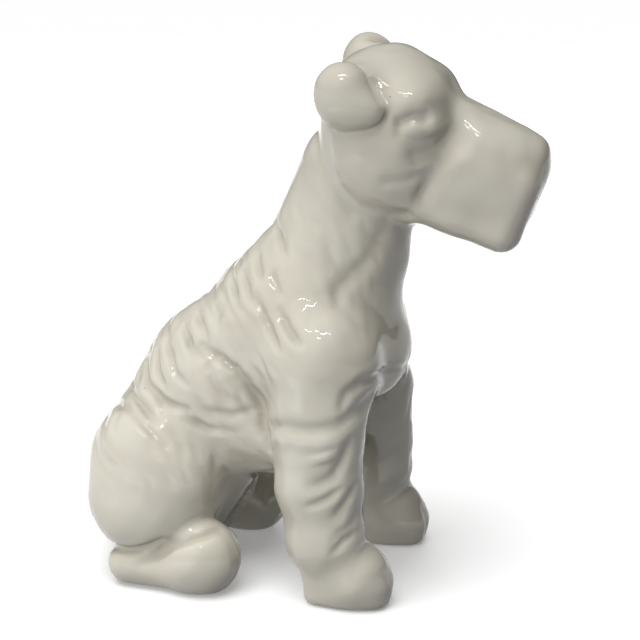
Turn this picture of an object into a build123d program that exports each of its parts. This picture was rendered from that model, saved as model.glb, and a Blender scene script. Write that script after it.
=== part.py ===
"""Seated terrier figurine, slip-cast in hollow parts that are luted together.

Millimetres. +Z is up, the dog faces -Y, its left side is +X, and its soles stand on Z = 0.
Sections are set out by how far forward of the hips' reference line they lie, so forward = -Y
until the finished parts are moved to stand centred on the origin.
"""

from math import cos, pi, sin, radians
import os

from build123d import *

# Driving dimensions
WALL = 4.0  # thickness of the cast shell
VENT_RADIUS = 3.5  # firing vent under the rump
PASSAGE_RADIUS = 3.0  # air passage pierced through each luted joint
SECTION_POINTS = 16  # spline points round each section
FORELEG_X = 30.0  # centre line of each front leg from the middle
LEFT_STRIDE = 3.0  # how far ahead of the right foreleg the left one stands
HIND_FOOT_X = 31.0  # centre line of each hind foot
HAUNCH_X = 25.0
MIDDLE_FORWARD = -2.8  # middle of the figure's whole length

# Torso sections: forward, height, half depth, half width, squareness, tilt of the section in degrees
TORSO = [
    (-60, 3, 14, 16, 2.3, 0),
    (-60, 12, 21, 23, 2.2, 0),
    (-60.5, 27, 26.5, 29, 2.2, -4),
    (-39, 51, 38, 31, 2.2, -10),
    (-24, 71, 40, 33, 2.2, -14),
    (-4, 95, 39, 38, 2.1, -18),
    (5, 119, 28.5, 28, 2.1, -24),
    (14.5, 147, 23, 21, 2.0, -31),
]
NECK_PLANE = TORSO[-1]

# Head sections along the muzzle axis: distance from the skull's centre, lift, half height, half width, squareness
HEAD_CENTRE = (26, 168)  # forward, height
HEAD_PITCH = -19.0  # degrees the muzzle points below the horizon
HEAD = [
    (-27.5, 3, 7, 6, 2.0),
    (-25, 3, 14, 11.5, 2.0),
    (-19, 2.5, 22.5, 18.5, 2.1),
    (-8, 1.5, 29, 24.5, 2.2),
    (2, 0.7, 31, 25, 2.2),
    (12, 0, 27.5, 23, 2.3),
    (22, -2.5, 23, 18.5, 2.8),
    (35, -2.7, 22, 17, 3.6),
    (50, -2.7, 21, 16, 4.0),
    (57.5, -2.7, 17, 12, 3.5),
]

# Foreleg sections: height, forward, half depth, half width, squareness
FORELEG = [
    (0, 16.5, 13, 11, 2.4),
    (10, 17.5, 16, 13, 2.2),
    (22, 12, 15, 12.5, 2.2),
    (32, 9, 14.5, 12.5, 2.2),
    (52, 8, 16, 14, 2.2),
    (78, 6, 17, 14, 2.1),
]

# Hind foot sections: forward, centre height, half height, half width, squareness
HIND_FOOT = [
    (-73.5, 7, 5, 5, 2.1),
    (-67, 8, 9, 8, 2.2),
    (-50, 10.5, 11.5, 10.5, 2.2),
    (-38, 13, 14.5, 13, 2.2),
    (-27, 12, 11, 9.5, 2.2),
    (-22.5, 11, 6, 5, 2.0),
]
HAUNCH_CENTRE = (-54, 39)  # forward, height
HAUNCH_RADII = (17, 27, 28)  # sideways, forward, up

# Ear sections: height, out from the middle, forward, half thickness, half depth, squareness
EAR = [
    (199, 17.5, 14, 3, 4, 2.0),
    (196.5, 18.5, 14, 7, 7, 2.0),
    (190, 21, 13.5, 8.8, 9.7, 2.1),
    (184, 23, 15, 8.3, 12, 2.1),
    (178, 24, 16.3, 7.2, 11.2, 2.1),
    (173, 24.5, 16, 5, 7.5, 2.0),
    (171.5, 24.5, 16, 2.5, 4, 2.0),
]

TAIL_ROOT = (-85.5, 24)  # forward, height
TAIL_TIP = (-80.5, 48)
TAIL_RADII = (5.5, 4.5)


def oval(half_a, half_b, squareness):
    """Points of a superellipse: half_a along the first axis, half_b along the second."""
    points = []
    for i in range(SECTION_POINTS):
        angle = 2 * pi * (i + 0.5) / SECTION_POINTS
        c, s = cos(angle), sin(angle)
        a = abs(c) ** (2 / squareness) * (1 if c > 0 else -1)
        b = abs(s) ** (2 / squareness) * (1 if s > 0 else -1)
        points.append((half_a * a, half_b * b))
    return points


def section(plane, half_a, half_b, squareness):
    outline = Spline(*[plane.from_local_coords((a, b, 0)) for a, b in oval(half_a, half_b, squareness)], periodic=True)
    return Face(Wire([outline]))


def level_plane(x, forward, height, tilt=0.0):
    """A plane across an upright form: first axis sideways, second axis forward, tilted up at the front."""
    t = radians(tilt)
    return Plane(origin=(x, -forward, height), x_dir=(1, 0, 0), z_dir=(0, sin(t), cos(t)))


def upright_plane(x, forward, height, pitch=0.0):
    """A plane across a form that points forward: first axis sideways, second axis up."""
    p = radians(pitch)
    return Plane(origin=(x, -forward, height), x_dir=(1, 0, 0), z_dir=(0, -cos(p), sin(p)))


def torso(inset=0.0):
    faces = []
    for forward, height, depth, width, squareness, tilt in TORSO:
        faces.append(section(level_plane(0, forward, height, tilt), width - inset, depth - inset, squareness))
    return loft(faces)


def head(inset=0.0):
    """Skull and muzzle. The inner form stops short of both ends by the same inset."""
    faces = []
    pitch = radians(HEAD_PITCH)
    first, last = HEAD[0][0], HEAD[-1][0]
    for along, lift, half_height, half_width, squareness in HEAD:
        along = min(max(along, first + inset), last - inset)
        forward = HEAD_CENTRE[0] + along * cos(pitch) - lift * sin(pitch)
        height = HEAD_CENTRE[1] + along * sin(pitch) + lift * cos(pitch)
        plane = upright_plane(0, forward, height, HEAD_PITCH)
        faces.append(section(plane, half_width - inset, half_height - inset, squareness))
    return loft(faces)


def foreleg(inset=0.0, lowest=0.0):
    """Right foreleg. The inner form starts above the sole, at lowest."""
    faces = []
    for height, forward, depth, width, squareness in FORELEG:
        plane = level_plane(-FORELEG_X, forward, max(height, lowest))
        if height == 0 or height > lowest:
            faces.append(section(plane, width - inset, depth - inset, squareness))
    return loft(faces)


def ear():
    """Right ear, a thick flap folded down beside the skull."""
    faces = []
    for height, out, forward, half_thickness, half_depth, squareness in EAR:
        faces.append(section(level_plane(-out, forward, height), half_thickness, half_depth, squareness))
    return loft(faces)


def hind_foot():
    faces = []
    for forward, height, half_height, half_width, squareness in HIND_FOOT:
        faces.append(section(upright_plane(-HIND_FOOT_X, forward, height), half_width, half_height, squareness))
    return loft(faces)


def ball(x, forward, height, radii):
    """An ellipsoid with radii sideways, forward and up."""
    side, depth, rise = radii
    return Pos(x, -forward, height) * scale(Sphere(1), by=(side, depth, rise))


def above_floor(shape):
    """Cuts a form flat at the soles."""
    return shape & Pos(0, 0, 150) * Box(400, 400, 300)


def neck_cutter():
    """Everything under the luting plane between neck and head."""
    forward, height, tilt = NECK_PLANE[0], NECK_PLANE[1], NECK_PLANE[5]
    depth = 200
    return level_plane(0, forward, height, tilt) * Pos(0, 0, -depth / 2) * Box(400, 400, depth)


def shrink(radii, by):
    return tuple(r - by for r in radii)


def body_shell(outer):
    """Torso from rump to neck, open at the neck, with a vent in the rump and a passage to each leg."""
    floor_of_cavity = Pos(0, 0, TORSO[0][1] + WALL + 150) * Box(400, 400, 300)
    shell = outer - (torso(WALL) & floor_of_cavity)
    vent = Pos(0, -TORSO[0][0], TORSO[0][1]) * Cylinder(VENT_RADIUS, 4 * WALL)
    shell -= vent
    for side in (-1, 1):
        haunch_passage = Pos(side * HAUNCH_X, -HAUNCH_CENTRE[0], HAUNCH_CENTRE[1]) * Rot(0, 90, 0)
        shell -= haunch_passage * Cylinder(PASSAGE_RADIUS, 20)
        leg_passage = Pos(side * (FORELEG_X - 4), -FORELEG[-2][1], FORELEG[-1][0] - 14)
        shell -= leg_passage * Cylinder(PASSAGE_RADIUS, 24)
    return shell


def both_sides(name, right_side, *neighbours, stride=0.0):
    """The right part and its mirror image, each fitted to the neighbours it is luted to."""
    parts = {}
    left_side = Pos(0, -stride, 0) * mirror(right_side, about=Plane.YZ)
    for side, shape in (("right", right_side), ("left", left_side)):
        for neighbour in neighbours:
            shape = shape - neighbour
        parts[f"{name}_{side}"] = shape
    return parts


def main():
    body_outer = torso()
    head_outer = head() - neck_cutter()
    haunch_outer = ball(-HAUNCH_X, *HAUNCH_CENTRE, HAUNCH_RADII)
    haunch_cavity = ball(-HAUNCH_X, *HAUNCH_CENTRE, shrink(HAUNCH_RADII, WALL))
    hind_leg = above_floor(haunch_outer + hind_foot()) - haunch_cavity

    root_radius, tip_radius = TAIL_RADII
    root = section(level_plane(0, *TAIL_ROOT), root_radius, root_radius, 2)
    tip = section(level_plane(0, *TAIL_TIP), tip_radius, tip_radius, 2)

    parts = {"body_shell": body_shell(body_outer), "head_shell": head_outer - head(WALL)}
    parts |= both_sides("foreleg", foreleg() - foreleg(WALL, WALL), body_outer, stride=LEFT_STRIDE)
    parts |= both_sides("hind_leg", hind_leg, body_outer)
    parts |= both_sides("ear", ear(), head_outer)
    parts["tail_stub"] = loft([root, tip]) - body_outer

    os.makedirs("parts", exist_ok=True)
    for name, shape in parts.items():
        shape = Pos(0, MIDDLE_FORWARD, 0) * shape
        solids = shape.solids()
        print(name, len(solids), [round(s.volume) for s in solids])
        export_step(shape, f"parts/{name}.step")


main()
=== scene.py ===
"""Seated terrier figurine in glazed ceramic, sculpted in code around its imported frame.

The sculpture is one signed distance field, in millimetres, of the whole figure. It is meshed once, so the
glaze runs on unbroken, and then parted along the luting lines into the pieces that the figure is cast in.
Points are rows of (sideways, forward, up). The dog faces -Y, so forward is -Y. The forms are set out on the
left side alone, where sideways is +X, and symmetric() lays both sides on them.
"""

import math

import bpy
import numpy as np
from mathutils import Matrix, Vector
from mathutils.kdtree import KDTree


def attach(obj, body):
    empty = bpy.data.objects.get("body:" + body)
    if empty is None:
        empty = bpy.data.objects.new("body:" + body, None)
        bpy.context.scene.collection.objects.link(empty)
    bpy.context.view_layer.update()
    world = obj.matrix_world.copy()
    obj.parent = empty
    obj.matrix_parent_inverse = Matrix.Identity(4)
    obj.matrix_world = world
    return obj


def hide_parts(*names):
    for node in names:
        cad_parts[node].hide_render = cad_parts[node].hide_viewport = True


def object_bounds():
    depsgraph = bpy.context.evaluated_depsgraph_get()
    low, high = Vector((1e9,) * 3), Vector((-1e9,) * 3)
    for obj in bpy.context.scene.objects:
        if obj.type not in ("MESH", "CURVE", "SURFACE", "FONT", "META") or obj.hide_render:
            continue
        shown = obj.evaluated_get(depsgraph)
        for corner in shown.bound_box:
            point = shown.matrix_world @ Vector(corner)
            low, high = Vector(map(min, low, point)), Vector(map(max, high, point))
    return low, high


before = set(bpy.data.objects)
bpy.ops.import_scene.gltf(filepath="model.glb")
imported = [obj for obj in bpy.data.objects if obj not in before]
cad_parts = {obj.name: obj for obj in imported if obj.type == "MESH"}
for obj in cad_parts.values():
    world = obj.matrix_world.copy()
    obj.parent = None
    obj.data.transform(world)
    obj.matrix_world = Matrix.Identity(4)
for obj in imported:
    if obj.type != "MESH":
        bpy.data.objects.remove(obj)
CAD_LOW, CAD_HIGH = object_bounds()

DESIGN_HEIGHT = 200.5  # millimetres, the height that the landmarks below are set out for
MM = (CAD_HIGH.z - CAD_LOW.z) / DESIGN_HEIGHT  # metres in one millimetre of the design

LEFT_STRIDE, LEFT_SPLAY = 2.5, 2.1  # how far the left forepaw stands ahead of the right one, and outside it
LEFT_LEAN = 4.5  # how much further forward the left foreleg's upright part stands
LEFT_HIND_STRIDE = 3.0  # how far the left hind paw reaches ahead of the right one
LEFT_EAR_LIFT = 3.5  # how much higher the left ear is set
MIDDLE_FORWARD = -2.8  # middle of the figure's whole length
MIDDLE_ROUNDING = 2.5  # how softly the two mirrored sides meet
NECK_SEAM_FORWARD, NECK_SEAM_HEIGHT = 14.5, 147  # middle of the plane that the head is luted on
NECK_SEAM_TILT = math.radians(-31)
VENT_RADIUS, VENT_FORWARD, VENT_TOP = 3.5, -60, 24  # firing vent under the rump

GRID_STEP = 1.6  # spacing of the field's samples, before the mesh is divided
GRID_LOW, GRID_HIGH = (-52, -96, -4), (52, 92, 206)  # corners of the sampled space


# ---------------------------------------------------------------- distance fields

def turned(p, centre, pitch=0.0, roll=0.0):
    """Points seen on a form's own axes. pitch lifts its front and roll leans its top outward, in degrees."""
    q = p - np.array(centre, np.float32)
    for angle, a, b in ((pitch, 1, 2), (roll, 2, 0)):
        if angle:
            c, s = math.cos(math.radians(angle)), math.sin(math.radians(angle))
            qa, qb = q[:, a].copy(), q[:, b].copy()
            q[:, a], q[:, b] = c * qa + s * qb, c * qb - s * qa
    return q


def blob(p, centre, radii, **turn):
    """Ellipsoid."""
    q = turned(p, centre, **turn)
    r = np.array(radii, np.float32)
    inner = np.sqrt(((q / r) ** 2).sum(1))
    outer = np.sqrt(((q / (r * r)) ** 2).sum(1))
    return inner * (inner - 1) / np.maximum(outer, 1e-6)


def limb(p, start, end, start_radius, end_radius, width=1.0):
    """Rod with round ends that tapers from start to end. width stretches it sideways."""
    a, b = np.array(start, np.float32), np.array(end, np.float32)
    stretch = np.array((1 / width, 1, 1), np.float32)
    a, b, q = a * stretch, b * stretch, p * stretch
    ab = b - a
    t = np.clip((q - a) @ ab / (ab @ ab), 0, 1)
    near = a + t[:, None] * ab
    return np.sqrt(((q - near) ** 2).sum(1)) - (start_radius + (end_radius - start_radius) * t)


def block(p, centre, half, rounding, taper, **turn):
    """Box with rounded edges, narrower and lower towards its front by the two tapers."""
    q = turned(p, centre, **turn)
    along = np.clip(q[:, 1] / half[1], -1, 1)
    q = q / (1 - (along[:, None] + 1) / 2 * np.array((taper[0], 0, taper[1]), np.float32))
    edge = np.abs(q) - (np.array(half, np.float32) - rounding)
    outside = np.sqrt((np.maximum(edge, 0) ** 2).sum(1))
    return outside + np.minimum(edge.max(1), 0) - rounding


def ease(x, start, end):
    """0 before start, 1 past end, smooth between. start may be the larger."""
    t = np.clip((x - start) / (end - start), 0, 1)
    return t * t * (3 - 2 * t)


def join(a, b, soft):
    """Union, with the crease filled over a width of soft."""
    h = np.maximum(soft - np.abs(a - b), 0) / soft
    return np.minimum(a, b) - h * h * soft / 4


def carve(a, b, soft):
    """a with b cut away, its edges rounded over a width of soft."""
    h = np.maximum(soft - np.abs(a + b), 0) / soft
    return np.maximum(a, -b) + h * h * soft / 4


def path(p, points):
    """Distance to a bent line."""
    return np.minimum.reduce([limb(p, a, b, 0, 0) for a, b in zip(points, points[1:])])


def furrow(d, p, points, depth, width):
    """d with a soft groove pressed in along a bent line, or a ridge raised where the depth is negative."""
    return d + depth * np.exp(-(path(p, points) / width) ** 2)


# ---------------------------------------------------------------- the sculpted parts

def trunk(p):
    """Neck, breast, shoulders, belly, loin and rump."""
    neck = limb(p, (0, 14.8, 152), (0, 6.5, 124), 22.4, 24.6, width=0.86)
    withers = limb(p, (0, 7, 124), (0, -3, 101), 24.3, 31.7, width=0.955)
    ribs = limb(p, (0, -3, 101), (0, -36, 71), 31.3, 29.2, width=0.99)
    loin = limb(p, (0, -36, 71), (0, -60, 31), 30, 28.5)
    breast = blob(p, (0, 4, 88), (29, 30, 23))
    belly = blob(p, (0, -17, 62), (30, 28, 23))
    shoulder = blob(p, (24, 6, 90), (18.5, 22, 22), pitch=-8)
    d = join(join(join(neck, withers, 6), ribs, 8), loin, 8)
    return join(join(join(d, breast, 8), belly, 6), shoulder, 5)


def head(p):
    """Skull, brows, cheeks, eyes and the square bearded muzzle."""
    skull = blob(p, (0, 25, 175.5), (24, 24.5, 24.2))
    cheek = blob(p, (12.5, 25.5, 165), (13, 21, 22.3))
    bridge = block(p, (0, 54, 158.6), (18.5, 26.5, 22.4), 14, taper=(0.2, 0.225), pitch=-19)
    beard = block(p, (0, 51.6, 152), (19, 26.5, 17.4), 7.5, taper=(0.18, 0.05), pitch=-19)
    brow = blob(p, (13.5, 37, 183), (9.5, 7.7, 7))
    muzzle_end = blob(p, (0, 76.5, 161), (8, 4.5, 7), pitch=-10)
    eye = blob(p, (16.3, 40, 174.8), (6.4, 7.5, 5))

    d = join(skull, cheek, 6)
    d = join(d, join(bridge, beard, 3), 4)
    d = join(join(d, brow, 9), muzzle_end, 5)
    # hollows in front of the eye and under it
    d = furrow(d, p, [(16, 51.5, 175), (16.5, 50, 171)], 1.8, 5.5)
    d = furrow(d, p, [(16, 50, 172), (18.5, 45, 166.5), (22, 39, 165)], 1.8, 3.8)
    d = join(d, eye, 5)
    # upper and lower lid
    d = furrow(d, p, [(23.5, 33.5, 176.5), (23.2, 37.5, 178.4), (22.5, 41, 178.1)], 1.6, 2.4)
    d = furrow(d, p, [(23.5, 33, 172.5), (23, 38, 170.2), (21, 43.5, 170)], 0.8, 2.2)
    # cheek crease, and the groove where the beard begins
    d = furrow(d, p, [(24, 29, 155.5), (22, 35, 156.5), (19.5, 41, 158.8)], 0.6, 2.2)
    return furrow(d, p, [(17, 54, 170), (19, 46, 160.5), (18.7, 42, 154), (18, 40, 150)], 1.7, 3.0)


def ear(p):
    """Thick flap folded down beside the skull."""
    flap = blob(p, (22.5, 13.2, 184.5), (8.3, 10.3, 12), roll=4)
    flap = join(flap, blob(p, (24.8, 22, 180.5), (5.8, 6.8, 6.2), roll=10), 6)
    return furrow(flap, p, [(18, 15, 196.5), (21, 20.5, 190.5), (25, 28, 186.5)], 2.6, 2.2)


def foreleg(p):
    upper = limb(p, (29.6, 6.5, 70), (29.8, 6.5, 45), 17, 15.6, width=0.84)
    lower = limb(p, (29.8, 6.5, 45), (29.8, 9, 24), 15.6, 13.9, width=0.87)
    pastern = limb(p, (29.8, 9, 24), (29, 14.5, 9), 13.9, 11.2, width=0.88)
    paw = blob(p, (29.2, 19.8, 10.5), (11.8, 13.3, 12.8))
    sole = block(p, (28.6, 17, 6), (9.2, 15.8, 8.5), 6.5, taper=(0.12, 0.15))
    return join(join(join(join(upper, lower, 3), pastern, 4), paw, 4), sole, 4)


def hind_leg(p):
    haunch = blob(p, (25, -57, 40), (17, 24.5, 25), pitch=-10)
    haunch = join(haunch, blob(p, (25, -60.3, 28), (16.5, 21, 17)), 6)
    foot = limb(p, (30, -65.5, 8), (31, -45, 9), 8.3, 9.5)
    foot = join(foot, blob(p, (30.7, -37, 13), (12.8, 14, 14.5)), 6)
    return join(haunch, foot, 3)


def tail(p):
    return limb(p, (0, -84, 28), (0, -81, 46), 5, 4)


def from_vent_axis(p):
    return np.hypot(p[:, 0], p[:, 1] - VENT_FORWARD)


def figure(p):
    """The whole figure, flat where it stands."""
    d = join(trunk(p), foreleg(p), 8)
    elbow = [(34, -12, 66.5), (41, -2, 70), (43, 7, 70.3), (41, 16, 72), (36, 21, 76), (30, 26, 79)]
    d = furrow(d, p, elbow, 1.4, 2.7)
    rump_softness = 16 * ease(p[:, 1], -45, -68) * ease(p[:, 2], 36, 60)
    d = join(d, hind_leg(p), 8 + rump_softness)
    throat_softness = 7 * ease(p[:, 1], 27, 37)
    d = join(d, head(p), 3 + throat_softness)
    jaw = [(20, 4, 172), (20.5, 6, 162), (20.5, 9.5, 152), (20, 17, 144.5), (19.5, 27, 142), (17, 34, 142.5)]
    d = furrow(d, p, jaw, 2.8, 2.4)
    ear_root_softness = 7 * ease(p[:, 2], 183, 194)
    d = join(d, ear(p), 1.2 + ear_root_softness)
    d = join(d, tail(p), 6)
    vent = np.maximum(from_vent_axis(p) - VENT_RADIUS, p[:, 2] - VENT_TOP)
    d = carve(d, vent, 1.5)
    return carve(d, p[:, 2], 2)


# ---------------------------------------------------------------- meshing

def grid_points(low, high, step):
    axes = [np.arange(a, b + step, step, dtype=np.float32) for a, b in zip(low, high)]
    shape = tuple(len(a) for a in axes)
    points = np.stack(np.meshgrid(*axes, indexing="ij"), -1).reshape(-1, 3)
    return points, shape


def surface(distance, low, high, step):
    """Quads round the distance's zero level: one vertex to each grid cell that the surface crosses."""
    points, shape = grid_points(low, high, step)
    values = distance(points).reshape(shape)
    index = np.arange(values.size).reshape(shape)
    inside = values < 0
    cells = np.zeros((values.size, 4), np.float64)
    quads = []
    for axis in range(3):
        first = tuple(slice(None, -1) if i == axis else slice(1, -1) for i in range(3))
        second = tuple(slice(1, None) if i == axis else slice(1, -1) for i in range(3))
        crossed = inside[first] != inside[second]
        v0, v1 = values[first][crossed], values[second][crossed]
        start = index[first][crossed]
        where = points[start] + np.outer(v0 / (v0 - v1) * step, np.eye(3)[axis])
        stride = np.array([shape[1] * shape[2], shape[2], 1])
        u, w = stride[(axis + 1) % 3], stride[(axis + 2) % 3]
        ring = np.stack([start - u - w, start - w, start, start - u], 1)
        for cell in ring.T:
            np.add.at(cells, cell, np.c_[where, np.ones(len(where))])
        ring[v0 > 0] = ring[v0 > 0][:, ::-1]
        quads.append(ring)
    quads = np.concatenate(quads)
    used, quads = np.unique(quads, return_inverse=True)
    vertices = cells[used, :3] / cells[used, 3:]
    return vertices, quads.reshape(-1, 4)


def divided(vertices, quads):
    """Each quad in four."""
    edges = np.sort(np.stack([quads, np.roll(quads, -1, 1)], 2).reshape(-1, 2), 1)
    edges, where = np.unique(edges, axis=0, return_inverse=True)
    middles = vertices[edges].mean(1)
    centres = vertices[quads].mean(1)
    m = where.reshape(-1, 4) + len(vertices)
    c = np.arange(len(quads)) + len(vertices) + len(edges)
    parts = [np.stack([quads[:, i], m[:, i], c, m[:, i - 1]], 1) for i in range(4)]
    return np.concatenate([vertices, middles, centres]), np.concatenate(parts)


def symmetric(v):
    """The points with both sides laid on the left, and the left side's own shifts taken back."""
    q = v.astype(np.float32).copy()
    side, forward, up = q.T.copy()
    left_foreleg = ease(up, 84, 62) * ease(forward, -24, -8) * (side > 0)
    left_ear = ease(side, 11, 17) * ease(up, 170, 184) * ease(forward, 36, 28)
    left_hind_paw = ease(up, 36, 24) * ease(forward, -58, -44) * ease(forward, -12, -20) * (side > 0)
    upright = ease(v[:, 2], 16, 34)
    q[:, 1] -= (LEFT_STRIDE + LEFT_LEAN * upright) * left_foreleg + LEFT_HIND_STRIDE * left_hind_paw
    q[:, 2] -= LEFT_EAR_LIFT * left_ear
    q[:, 0] = np.hypot(side, MIDDLE_ROUNDING) - LEFT_SPLAY * left_foreleg * ease(q[:, 2], 60, 0)
    return q


def field(v):
    """Distance from the whole figure, for points on both sides of the middle."""
    return figure(symmetric(v))


def gradient(distance, v, step=0.05):
    return np.stack([(distance(v + e) - distance(v - e)) / (2 * step) for e in np.eye(3) * step], 1)


def settled(distance, vertices, rounds=3):
    """The vertices moved onto the distance's zero level."""
    for _ in range(rounds):
        slope = gradient(distance, vertices)
        size = np.maximum((slope ** 2).sum(1), 0.05)
        vertices = vertices - (distance(vertices) / size)[:, None] * slope
    return vertices


def vertex_normals(vertices, quads):
    a, b, c, d = (vertices[quads[:, i]] for i in range(4))
    face = np.cross(c - a, d - b)
    normals = np.zeros_like(vertices)
    for i in range(4):
        np.add.at(normals, quads[:, i], face)
    return normals / np.maximum(np.linalg.norm(normals, axis=1), 1e-9)[:, None]


# ---------------------------------------------------------------- modelling marks

STROKE_COUNT, STROKE_SPACING = 420, 4.6  # most strokes, and the least distance between two
STROKE_TRIES = 6000  # places drawn at random, from which the strokes' places are chosen
FAINTEST_STROKE = 0.08  # no stroke is set where the coat's weight is below this
WAVES = 14  # waves added up in the surface's unevenness

# Folds that the photo shows singly: depth, width, and the line that each follows. A negative depth is a
# ridge. Most lines were marked by eye on the photo, measured off with a helper script, and rounded to about
# half a millimetre.
FOLDS = [
    # upper back and shoulder
    (1.1, 1.5, [(13, -30, 117), (21, -27.5, 113.5), (25, -25, 109)]),
    (1.3, 1.5, [(18, -25, 119), (24, -22, 115.5), (28, -19.5, 111.5)]),
    (1.0, 1.5, [(16, -20, 126), (20, -19, 123), (24, -17, 120)]),
    (1.2, 1.6, [(12, -13.5, 134.5), (18, -10.5, 131), (22, -8, 127.5)]),
    (1.0, 1.6, [(25, -12.5, 122), (28, -10, 118), (30, -8, 115)]),
    (1.5, 1.7, [(28, -17, 112.5), (31, -14, 108), (34, -10.5, 102.5), (38, -6.5, 98)]),
    (1.9, 1.8, [(33, -7, 109.5), (36, -4, 105.5), (39, 1, 101)]),
    # middle of the back
    (1.0, 1.5, [(17, -35.5, 106.5), (21, -33.5, 104), (23, -32.5, 101.5)]),
    (1.2, 1.5, [(15, -41, 100.5), (21, -38, 98), (24, -36, 95)]),
    (0.9, 1.4, [(20, -44, 94), (23, -42.5, 91.5)]),
    # loin
    (1.5, 1.5, [(18, -53.5, 90), (22.5, -50, 87), (26.5, -47, 82), (29.5, -43, 79.5)]),
    (1.4, 1.5, [(17, -57, 86.5), (22, -55, 81), (27, -51, 76)]),
    (1.7, 1.6, [(13.5, -62, 81), (21, -58.5, 75), (28.5, -50, 71), (31, -43, 70)]),
    (1.5, 1.6, [(8, -69, 72), (15, -65.5, 70), (23, -62, 67.5), (31.5, -54, 64.5)]),
    (1.1, 1.7, [(11, -72, 62), (22, -67, 62.5), (32, -57, 61.5), (36, -49.5, 58)]),
    (1.2, 1.5, [(17, -47.5, 97), (24, -42, 91.5), (27, -38, 89.5)]),
    # lock on the flank
    (2.1, 1.9, [(25, -37, 92.5), (28, -31, 90), (31, -24, 86.5), (32, -20, 82), (33, -17, 75),
                (33, -14, 67), (32, -12, 58)]),
    (0.9, 1.7, [(28, -32.5, 89.5), (29, -34, 86.5), (30.5, -31.5, 81), (31, -28.5, 77), (30.5, -24.5, 74)]),
    (-0.5, 3.0, [(29, -30.5, 87), (31, -27, 82)]),
    (0.9, 1.6, [(35, -33, 70), (37, -25, 69), (37, -19, 72)]),
    (0.7, 1.6, [(33, -42, 66), (35, -33, 63), (36, -24, 62)]),
    # neck and breast
    (1.0, 3.2, [(15, 26, 139), (16, 25, 134), (20, 20.5, 125), (24.5, 14, 119), (28, 12, 113)]),
    (0.5, 2.4, [(22, 7, 132), (24, 10.5, 126), (23, 14.5, 122.5)]),
    (0.6, 3.0, [(29, 15, 112), (28, 21, 105), (24, 26, 100)]),
    (1.3, 2.0, [(39.5, 17, 80), (38.5, 18.5, 84), (35.5, 23.5, 87), (27, 29, 87), (18, 31.5, 85),
                (5, 34, 82.5)]),
    # heel and hind paw
    (1.6, 1.8, [(24, -77, 15), (33, -68, 16), (36, -60, 17.5), (38.5, -51, 21.5)]),
    (1.8, 2.0, [(39, -58, 12.5), (39.5, -52, 16), (40, -46.5, 20.5), (41, -40, 24), (39, -34, 26),
                (34, -29.5, 27)]),
    (0.5, 1.3, [(27, -25, 19), (27, -22, 11), (27, -23, 4)]),
    (0.5, 1.3, [(35, -25, 19), (35, -22, 11), (35, -23, 4)]),
    # foreleg and paw
    (-0.5, 2.6, [(43.5, 1, 65), (44, 10, 65.5), (40, 18, 67.5)]),
    (-1.0, 4.0, [(43.5, 11, 62), (43.5, 12, 59)]),
    (1.2, 2.2, [(43.5, 8, 50), (42.5, 14.5, 53), (41, 17.5, 58), (39.5, 20, 65)]),
    (1.0, 1.6, [(43.5, 6, 42), (43, 12.5, 45), (41.5, 16.5, 48)]),
    (1.1, 1.8, [(41.5, 15.5, 38.5), (40, 19.5, 43), (37, 22, 48)]),
    (1.1, 1.7, [(42, 14.5, 24.5), (40.5, 18.5, 28.5), (36.5, 22, 30.5)]),
    (0.5, 1.3, [(26, 33, 15), (26, 35, 8), (26, 34, 3)]),
    (0.5, 1.3, [(34, 33, 15), (34, 35, 8), (34, 34, 3)]),
]


def fold(p, line, width):
    """Depth of a mark that follows a bent line, 1 at its middle and fading towards both ends."""
    points = np.array(line, np.float32)
    steps = np.diff(points, axis=0)
    lengths = np.linalg.norm(steps, axis=1)
    nearest, travelled = np.full(len(p), np.inf), np.zeros(len(p))
    for start, step, length, before in zip(points, steps, lengths, np.cumsum(lengths) - lengths):
        t = np.clip((p - start) @ step / length ** 2, -0.4, 1.4)
        distance = np.linalg.norm(p - (start + t[:, None] * step), axis=1)
        closer = distance < nearest
        nearest[closer] = distance[closer]
        travelled[closer] = ((before + t * length) / lengths.sum())[closer]
    fade = ease(travelled, -0.3, 0.25) * ease(travelled, 1.3, 0.75)
    return fade * np.exp(-(nearest / width) ** 2)


def laid(line, spacing=2.0):
    """The line in short steps, each of its points brought onto the figure's surface."""
    points = np.array(line, np.float32)
    lengths = np.linalg.norm(np.diff(points, axis=0), axis=1)
    travelled = np.concatenate([[0], np.cumsum(lengths)])
    places = np.linspace(0, travelled[-1], 2 + int(travelled[-1] / spacing))
    dense = np.stack([np.interp(places, travelled, column) for column in points.T], 1)
    return settled(figure, dense)


def waviness(v, wavelength, seed):
    """Smooth unevenness of a hand-finished form, about -1 to 1."""
    rng = np.random.default_rng(seed)
    total = np.zeros(len(v))
    for _ in range(WAVES):
        heading = rng.normal(size=3)
        heading *= 2 * math.pi / wavelength / np.linalg.norm(heading) * rng.uniform(0.7, 1.3)
        total += np.sin(v @ heading + rng.uniform(0, 2 * math.pi))
    return total / 4


def coat_weight(v, home):
    """How strongly the coat is marked with strokes at each vertex."""
    side, forward, up = np.abs(v[:, 0]), v[:, 1], v[:, 2]
    off_head = ease(np.minimum(head(home), ear(home)) - trunk(home), 0, 5)
    trunk_zone = ease(up, 34, 60) * ease(up - 0.62 * forward, 150, 138) * (1 - 0.5 * ease(up, 108, 126))
    breast = ease(forward, -24, -2) * ease(up, 142, 118)
    spine_gap = ease(side, 4, 15)
    forelegs = ease(up, 66, 60) * ease(up, 16, 26) * (forward > -14) * 0.35
    lower_back = ease(forward - 0.9 * (up - 60), -12, -38) * ease(up, 34, 52)
    on_trunk = trunk_zone * (0.5 - 0.44 * breast + 0.25 * lower_back) * spine_gap
    return np.maximum(on_trunk, forelegs) * off_head


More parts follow.
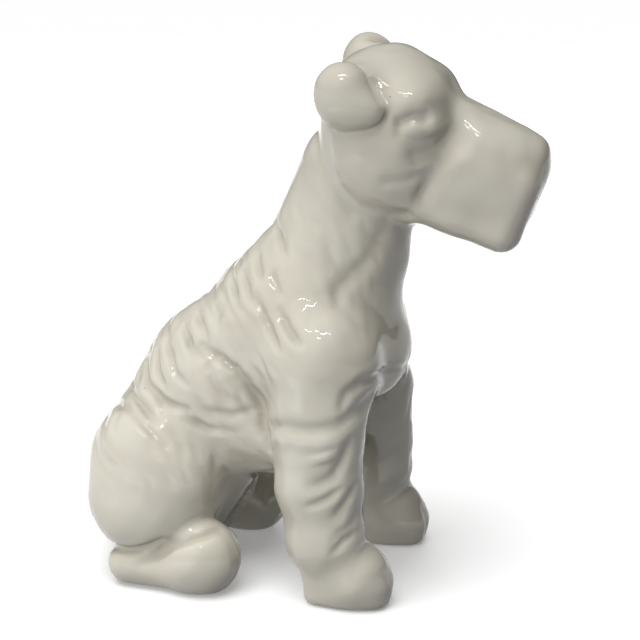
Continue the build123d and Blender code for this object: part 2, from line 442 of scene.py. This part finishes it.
def coat_flow(v):
    """Lie of the coat: down and forward from the spine, and down and back on the forelegs."""
    side = np.where(v[:, 0] < 0, -1.0, 1.0)
    on_leg = (v[:, 2] < 68) & (v[:, 1] > -14)
    flow = np.stack([side * 0.55, np.full(len(v), 0.62), np.full(len(v), -0.75)], 1)
    flow[on_leg] = (0, -0.85, -0.55)
    return flow


def strokes(v, normals, weight, seed):
    """Depth of short seeded strokes that follow the lie of the coat, each with a low ridge along one side."""
    rng = np.random.default_rng(seed)
    nearest = KDTree(len(v))
    for i, place in enumerate(v.tolist()):
        nearest.insert(place, i)
    nearest.balance()
    tries = rng.uniform(v.min(0), v.max(0), (STROKE_TRIES, 3))
    candidates = [nearest.find(place)[1] for place in tries.tolist()]
    chosen = np.zeros((0, 3))
    depth = np.zeros(len(v))
    for i in candidates:
        crowded = len(chosen) and ((chosen - v[i]) ** 2).sum(1).min() < STROKE_SPACING ** 2
        if weight[i] < FAINTEST_STROKE or crowded:
            continue
        chosen = np.vstack([chosen, v[i]])
        if len(chosen) > STROKE_COUNT:
            break
        n = normals[i]
        along = coat_flow(v[i:i + 1])[0] + rng.normal(0, 0.14, 3)
        along -= n * (along @ n)
        along /= np.linalg.norm(along)
        across = np.cross(n, along)
        half, width = rng.uniform(5, 10), rng.uniform(1.2, 2.1)
        press, bend = weight[i] * rng.uniform(0.25, 0.85), rng.normal(0, 0.02)
        near = np.nonzero((np.abs(v - v[i]) < half + 3).all(1))[0]
        q = v[near] - v[i]
        a, b = q @ along, q @ across
        b = b - bend * a * a
        fade = np.clip(1 - (a / half) ** 2, 0, 1) ** 1.5 * (normals[near] @ n > 0)
        groove = np.exp(-(b / width) ** 2)
        ridge = 0.45 * np.exp(-((b - 2.1 * width) / (1.3 * width)) ** 2)
        depth[near] += press * fade * (groove - ridge)
    return depth


def marked(v, normals):
    """How deep the surface is pressed in at each vertex, in millimetres."""
    p = symmetric(v)
    depth = np.zeros(len(v))
    for press, width, line in FOLDS:
        line, reach = laid(line), 4 * width
        near = np.nonzero(((p > line.min(0) - reach) & (p < line.max(0) + reach)).all(1))[0]
        depth[near] += press * fold(p[near], line, width)
    depth += strokes(v, normals, coat_weight(v, p), seed=11)
    above_sole = ease(v[:, 2], 2, 12)
    depth += 0.22 * waviness(v, 17, seed=3) * above_sole + 0.05 * waviness(v, 7.5, seed=5) * above_sole
    return depth


# ---------------------------------------------------------------- parting into pieces

# Columns of the sculpture's rows. The last ones hold a value for each part that is cast alone: it is
# negative on the part and zero along its luting line.
POSITION, NORMAL = slice(0, 3), slice(3, 6)
RECESS, GLAZED, HEAD, EAR, FORELEG, HIND_LEG, TAIL = range(6, 13)

RECESS_REACH = 3.5  # how far out from the surface the recess is felt for
PRESSED_RECESS = 0.35  # recess added by each millimetre that the surface is pressed in, so the pressed marks take painted shade too
LIP_DEPTH = 2.0  # how far a cut edge turns inward
# The point inside the figure that each luting face runs down to: neck, ears, forelegs, hind legs and tail
SEATS = [np.array((side * out, forward, up)) for out, forward, up in
         ((0, 13, 147), (13, 14, 184), (8, 0, 86), (8, -58, 38), (0, -72, 36)) for side in (-1, 1)]


def triangles_of(quads):
    return np.concatenate([quads[:, [0, 1, 2]], quads[:, [0, 2, 3]]])


def parted(data, triangles, column):
    """Cuts triangles along the zero line of one column. Returns the data with the new vertices' rows, and the
    triangles on the negative and on the positive side."""
    value = data[:, column]
    value = np.where(np.abs(value) < 1e-4, 1e-4, value)  # no vertex lies on the line itself
    positive = value[triangles] > 0
    ups = positive.sum(1)
    below, above = triangles[ups == 0], triangles[ups == 3]
    crossed = (ups == 1) | (ups == 2)
    mixed, signs = triangles[crossed], positive[crossed]
    lone_up = signs.sum(1) == 1
    lone = np.argmax(signs == lone_up[:, None], axis=1)
    rows = np.arange(len(mixed))
    a, b, c = (mixed[rows, (lone + k) % 3] for k in range(3))
    pairs = np.sort(np.concatenate([np.stack([a, b], 1), np.stack([a, c], 1)]), 1)
    edges, where = np.unique(pairs, axis=0, return_inverse=True)
    v0, v1 = value[edges[:, 0]], value[edges[:, 1]]
    t = np.clip(v0 / (v0 - v1), 0.02, 0.98)[:, None]  # no new vertex coincides with an old one
    data = np.concatenate([data, data[edges[:, 0]] * (1 - t) + data[edges[:, 1]] * t])
    where = where.reshape(-1) + len(value)
    ab, ac = where[:len(mixed)], where[len(mixed):]
    tip = np.stack([a, ab, ac], 1)
    rest = np.concatenate([np.stack([ab, b, c], 1), np.stack([ab, c, ac], 1)])
    twice = np.concatenate([lone_up, lone_up])
    above = np.concatenate([above, tip[lone_up], rest[~twice]])
    below = np.concatenate([below, tip[~lone_up], rest[twice]])
    return data, below, above


def open_loops(triangles):
    """The closed loops of edges that only one triangle uses, each in order."""
    edges = np.concatenate([triangles[:, [0, 1]], triangles[:, [1, 2]], triangles[:, [2, 0]]])
    _, first, count = np.unique(np.sort(edges, 1), axis=0, return_index=True, return_counts=True)
    following = {}
    for a, b in edges[first[count == 1]].tolist():
        following.setdefault(a, []).append(b)
    loops = []
    while following:
        loop, here = [], next(iter(following))
        while here in following:
            loop.append(here)
            ahead = following[here].pop()
            if not following[here]:
                del following[here]
            here = ahead
        loops.append(loop)
    return loops


def capped(data, triangles):
    """Closes each open loop with a lip that turns inward and a cone down to the nearest seat."""
    rows, faces = [data], [triangles]
    count = len(data)
    for loop in open_loops(triangles):
        n = len(loop)
        lip = data[loop].copy()
        lip[:, POSITION] -= LIP_DEPTH * lip[:, NORMAL]
        seat = data[loop].mean(0)
        seat[POSITION] = min(SEATS, key=lambda place: ((place - seat[POSITION]) ** 2).sum())
        outer, inner = np.array(loop), np.arange(n) + count
        outer_next, inner_next = np.roll(outer, -1), np.roll(inner, -1)
        faces += [np.stack([outer_next, outer, inner], 1), np.stack([outer_next, inner, inner_next], 1),
                  np.stack([inner_next, inner, np.full(n, count + n)], 1)]
        rows += [lip, seat[None]]
        count += n + 1
    return np.concatenate(rows), np.concatenate(faces)


def make_piece(name, data, triangles, material):
    """One closed piece, in the world's metres and with forward turned to -Y."""
    data, triangles = capped(data, triangles)
    used, triangles = np.unique(triangles, return_inverse=True)
    rows, triangles = data[used], triangles.reshape(-1, 3)
    place = (rows[:, POSITION] - (0, MIDDLE_FORWARD, 0)) * (1, -1, 1) * MM
    normals = rows[:, NORMAL] * (1, -1, 1)
    mesh = bpy.data.meshes.new(name)
    mesh.from_pydata(place.tolist(), [], triangles[:, ::-1].tolist())
    mesh.shade_smooth()
    for column, label in ((RECESS, "recess"), (GLAZED, "glazed")):
        attribute = mesh.attributes.new(label, "FLOAT", "POINT")
        attribute.data.foreach_set("value", rows[:, column].astype(np.float32))
    normals /= np.maximum(np.linalg.norm(normals, axis=1), 1e-9)[:, None]
    mesh.normals_split_custom_set_from_vertices(normals.tolist())
    mesh.materials.append(material)
    piece = bpy.data.objects.new(name, mesh)
    bpy.context.scene.collection.objects.link(piece)
    return piece


def territories(p):
    """The columns from HEAD to TAIL."""
    body, skull, flap = trunk(p), head(p), ear(p)
    fore, hind, stub = foreleg(p), hind_leg(p), tail(p)
    above_seam = ((p[:, 1] - NECK_SEAM_FORWARD) * math.sin(NECK_SEAM_TILT)
                  + (p[:, 2] - NECK_SEAM_HEIGHT) * math.cos(NECK_SEAM_TILT))
    return np.stack([-above_seam, flap - skull, fore - np.minimum(body, hind),
                     hind - np.minimum(body, fore), stub - body], 1)


def sculpture():
    """The whole figure's rows and triangles."""
    vertices, quads = surface(field, GRID_LOW, GRID_HIGH, GRID_STEP)
    vertices, quads = divided(vertices, quads)
    vertices = settled(field, vertices)
    smooth = vertex_normals(vertices, quads)
    values = territories(symmetric(vertices))
    pressed = marked(vertices, smooth) * ease(vertices[:, 2], 0, 3)
    vertices = vertices - smooth * pressed[:, None]
    normals = vertex_normals(vertices, quads)
    # recess is high in hollows and low on crests; the material paints shade and light on the glaze with it
    recess = 1 - field(vertices + normals * RECESS_REACH) / RECESS_REACH + PRESSED_RECESS * pressed
    sole = (vertices[:, 2] < 1.2) & (normals[:, 2] < -0.6)
    in_vent = (from_vent_axis(vertices) < VENT_RADIUS + 1) & (vertices[:, 2] < VENT_TOP + 6)
    glazed = 1.0 - (sole | in_vent)
    return np.c_[vertices, normals, recess, glazed, values], triangles_of(quads)


def cast_parts():
    """The rows that the pieces' triangles point into, and the pieces' triangles by name."""
    data, triangles = sculpture()
    pieces = {}
    data, crown, below_neck = parted(data, triangles, HEAD)
    data, ears, pieces["head"] = parted(data, crown, EAR)
    data, forelegs, below_neck = parted(data, below_neck, FORELEG)
    data, hind_legs, below_neck = parted(data, below_neck, HIND_LEG)
    data, pieces["tail"], pieces["torso"] = parted(data, below_neck, TAIL)
    for name, both in (("ear", ears), ("foreleg", forelegs), ("hind_leg", hind_legs)):
        on_left = data[both[:, 0], 0] > 0
        pieces["right_" + name], pieces["left_" + name] = both[~on_left], both[on_left]
    return data, pieces


# ---------------------------------------------------------------- materials

def node(tree, kind, inputs=None, **settings):
    """A shader node with its settings, and its inputs by name: a value, or an output to link."""
    made = tree.nodes.new(kind)
    for key, value in settings.items():
        setattr(made, key, value)
    for key, value in (inputs or {}).items():
        if isinstance(value, bpy.types.NodeSocket):
            tree.links.new(value, made.inputs[key])
        else:
            made.inputs[key].default_value = value
    return made


def ramp(tree, value, low, high, low_out=0.0, high_out=1.0):
    return node(tree, "ShaderNodeMapRange", {"Value": value, "From Min": low, "From Max": high,
                                             "To Min": low_out, "To Max": high_out}).outputs["Result"]


def blended(tree, factor, first, second):
    """first where the factor is 0, second where it is 1. Each is a colour or a colour output."""
    mix = node(tree, "ShaderNodeMix", data_type="RGBA")
    for index, value in ((0, factor), (6, first), (7, second)):
        if isinstance(value, bpy.types.NodeSocket):
            tree.links.new(value, mix.inputs[index])
        else:
            mix.inputs[index].default_value = value
    return mix.outputs[2]


GLAZE, GLAZE_LIGHTER = (0.590, 0.560, 0.472, 1), (0.605, 0.581, 0.502, 1)
GLAZE_WARM = (0.592, 0.543, 0.462, 1)
GLAZE_POOLED_SHADED, GLAZE_THIN_LIT = (0.44, 0.412, 0.338, 1), (0.645, 0.618, 0.545, 1)  # darker in the hollows for pooled glaze and painted shade, lighter on the crests for thin glaze and painted light
SPECK = (0.20, 0.17, 0.13, 1)
BARE, BARE_LIGHTER = (0.62, 0.58, 0.50, 1), (0.72, 0.68, 0.60, 1)
GLAZE_IOR, BARE_ROUGHNESS = 1.52, 0.75


def glazed_ceramic():
    """Off-white glaze with painted shade where it pools in the folds and painted light on the crests, over a
    pale body left bare on the soles and in the vent.
    """
    material = bpy.data.materials.new("glazed_ceramic")
    material.use_nodes = True
    tree = material.node_tree
    shader = tree.nodes["Principled BSDF"]
    place = node(tree, "ShaderNodeTexCoord").outputs["Object"]

    def noise(scale, detail=2.0):
        inputs = {"Vector": place, "Scale": scale, "Detail": detail}
        return node(tree, "ShaderNodeTexNoise", inputs).outputs["Fac"]

    recess = node(tree, "ShaderNodeAttribute", attribute_name="recess").outputs["Fac"]
    glazed = node(tree, "ShaderNodeAttribute", attribute_name="glazed").outputs["Fac"]

    colour = blended(tree, ramp(tree, noise(24), 0.35, 0.65), GLAZE, GLAZE_LIGHTER)
    colour = blended(tree, ramp(tree, noise(60, 3.0), 0.45, 0.75, 0.0, 0.55), colour, GLAZE_WARM)
    # painted shade: the glaze darkens with the recess, for glaze pooled in the folds and for the shade that
    # falls there
    colour = blended(tree, ramp(tree, recess, 0.25, 1.2, 0.0, 0.75), colour, GLAZE_POOLED_SHADED)
    # painted light: the crests lighten, for glaze that runs thin there and for the light that they catch
    colour = blended(tree, ramp(tree, recess, -0.05, -0.5, 0.0, 0.7), colour, GLAZE_THIN_LIT)
    cells = node(tree, "ShaderNodeTexVoronoi", {"Vector": place, "Scale": 95.0}).outputs["Distance"]
    dots, sparse = ramp(tree, cells, 0.030, 0.015), ramp(tree, noise(140, 0.0), 0.66, 0.74)
    specks = node(tree, "ShaderNodeMath", {0: dots, 1: sparse}, operation="MULTIPLY")
    colour = blended(tree, specks.outputs[0], colour, SPECK)
    bare = blended(tree, noise(900, 4.0), BARE, BARE_LIGHTER)
    tree.links.new(blended(tree, glazed, bare, colour), shader.inputs["Base Color"])

    gloss = ramp(tree, noise(35), 0.3, 0.7, 0.03, 0.055)
    finish = {"Factor": glazed, "A": BARE_ROUGHNESS, "B": gloss}
    roughness = node(tree, "ShaderNodeMix", finish, data_type="FLOAT")
    tree.links.new(roughness.outputs["Result"], shader.inputs["Roughness"])

    ripple = node(tree, "ShaderNodeMath", {0: noise(170, 1.0), 1: noise(520, 2.0)}, operation="ADD")
    bump = node(tree, "ShaderNodeBump", {"Height": ripple.outputs[0], "Strength": 0.08, "Distance": 0.0004})
    tree.links.new(bump.outputs["Normal"], shader.inputs["Normal"])
    shader.inputs["IOR"].default_value = GLAZE_IOR
    return material


NODES = {"torso": "body_shell", "head": "head_shell", "tail": "tail_stub",
         "right_ear": "ear_right", "left_ear": "ear_left",
         "right_foreleg": "foreleg_right", "left_foreleg": "foreleg_left",
         "right_hind_leg": "hind_leg_right", "left_hind_leg": "hind_leg_left"}

ceramic = glazed_ceramic()
data, pieces = cast_parts()
for name, triangles in pieces.items():
    piece = make_piece(name, data, triangles, ceramic)
    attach(piece, "root")
    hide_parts(NODES[name])


# ---------------------------------------------------------------- stage

FLOOR_REACH = 4  # metres from the figure to the floor's edge
LIT_MIDDLE = (0, 0, 0.1)  # the point that every light looks at
CAMERA_AZIMUTH, CAMERA_ELEVATION, CAMERA_DISTANCE = 283, 17, 0.68  # the photo's viewing angle
CAMERA_TARGET = (0, MIDDLE_FORWARD * MM, 0.097)
HALF_VIEW = math.radians(9.73)  # from the picture's middle to its side
SENSOR_WIDTH = 36


def studio_world():
    """Soft surrounding light, brightest from the dog's right."""
    world = bpy.data.worlds.new("studio")
    world.use_nodes = True
    tree = world.node_tree
    heading = node(tree, "ShaderNodeTexCoord").outputs["Generated"]
    lean = node(tree, "ShaderNodeVectorMath", {0: heading, 1: (-1, 0.35, 0.5)}, operation="DOT_PRODUCT")
    brightness = ramp(tree, lean.outputs["Value"], -0.1, 1.15)
    grey = blended(tree, brightness, (0.03, 0.03, 0.03, 1), (0.45, 0.45, 0.45, 1))
    tree.links.new(grey, tree.nodes["Background"].inputs["Color"])
    return world


def pale_floor():
    """A floor that doesn't light the figure, and glows a little to be as white as the photo's ground."""
    corners = [(x * FLOOR_REACH, y * FLOOR_REACH, 0) for x, y in ((-1, -1), (1, -1), (1, 1), (-1, 1))]
    mesh = bpy.data.meshes.new("floor")
    mesh.from_pydata(corners, [], [(0, 1, 2, 3)])
    floor = bpy.data.objects.new("floor", mesh)
    bpy.context.scene.collection.objects.link(floor)
    material = bpy.data.materials.new("floor")
    material.use_nodes = True
    shader = material.node_tree.nodes["Principled BSDF"]
    shader.inputs["Base Color"].default_value = (0.92, 0.92, 0.92, 1)
    shader.inputs["Roughness"].default_value = 0.7
    shader.inputs["Emission Color"].default_value = (1, 1, 1, 1)
    shader.inputs["Emission Strength"].default_value = 0.2
    mesh.materials.append(material)
    floor.visible_diffuse = False


def stand(name, content, azimuth, elevation, distance, target):
    """Puts a light or a camera at a compass azimuth and an elevation, in degrees, and faces it to target."""
    a, e = math.radians(azimuth), math.radians(elevation)
    away = Vector((math.sin(a) * math.cos(e), -math.cos(a) * math.cos(e), math.sin(e)))
    holder = bpy.data.objects.new(name, content)
    holder.location = Vector(target) + away * distance
    holder.rotation_euler = (-away).to_track_quat("-Z", "Y").to_euler()
    bpy.context.scene.collection.objects.link(holder)
    return holder


def lamp(name, kind, azimuth, elevation, distance, energy, **settings):
    """A light that faces the figure's middle."""
    light = bpy.data.lights.new(name, kind)
    light.energy = energy
    for setting, value in settings.items():
        setattr(light, setting, value)
    return stand(name, light, azimuth, elevation, distance, LIT_MIDDLE)


def studio_lights():
    """A high wide sun, a window behind the haunch, a fill for the far side, and two tubes for the glaze."""
    sun = lamp("key", "SUN", 250, 74, 2, 2.42, angle=math.radians(50))
    window = lamp("window", "AREA", 236, 2, 0.42, 0.72, shape="SQUARE", size=0.25)
    fill = lamp("fill", "AREA", 95, 22, 1.2, 7.0, shape="SQUARE", size=1.0)
    for light in (sun, window, fill):
        light.visible_glossy = False  # the glaze mirrors only the soft surroundings and the two tubes
    for name, elevation, energy, length in (("long_tube", 57, 1.8, 0.52), ("short_tube", 44, 0.6, 0.2)):
        tube = lamp(name, "AREA", 262, elevation, 1.0, energy, shape="RECTANGLE", size=length, size_y=0.017)
        tube.visible_diffuse = False  # the tubes only draw bright streaks on the glaze


def photo_camera():
    """A camera at the photo's viewing angle."""
    optics = bpy.data.cameras.new("camera")
    optics.lens = SENSOR_WIDTH / (2 * math.tan(HALF_VIEW))
    return stand("camera", optics, CAMERA_AZIMUTH, CAMERA_ELEVATION, CAMERA_DISTANCE, CAMERA_TARGET)


bpy.context.scene.world = studio_world()
pale_floor()
studio_lights()
bpy.context.scene.camera = photo_camera()
bpy.context.scene.view_settings.view_transform = "Standard"
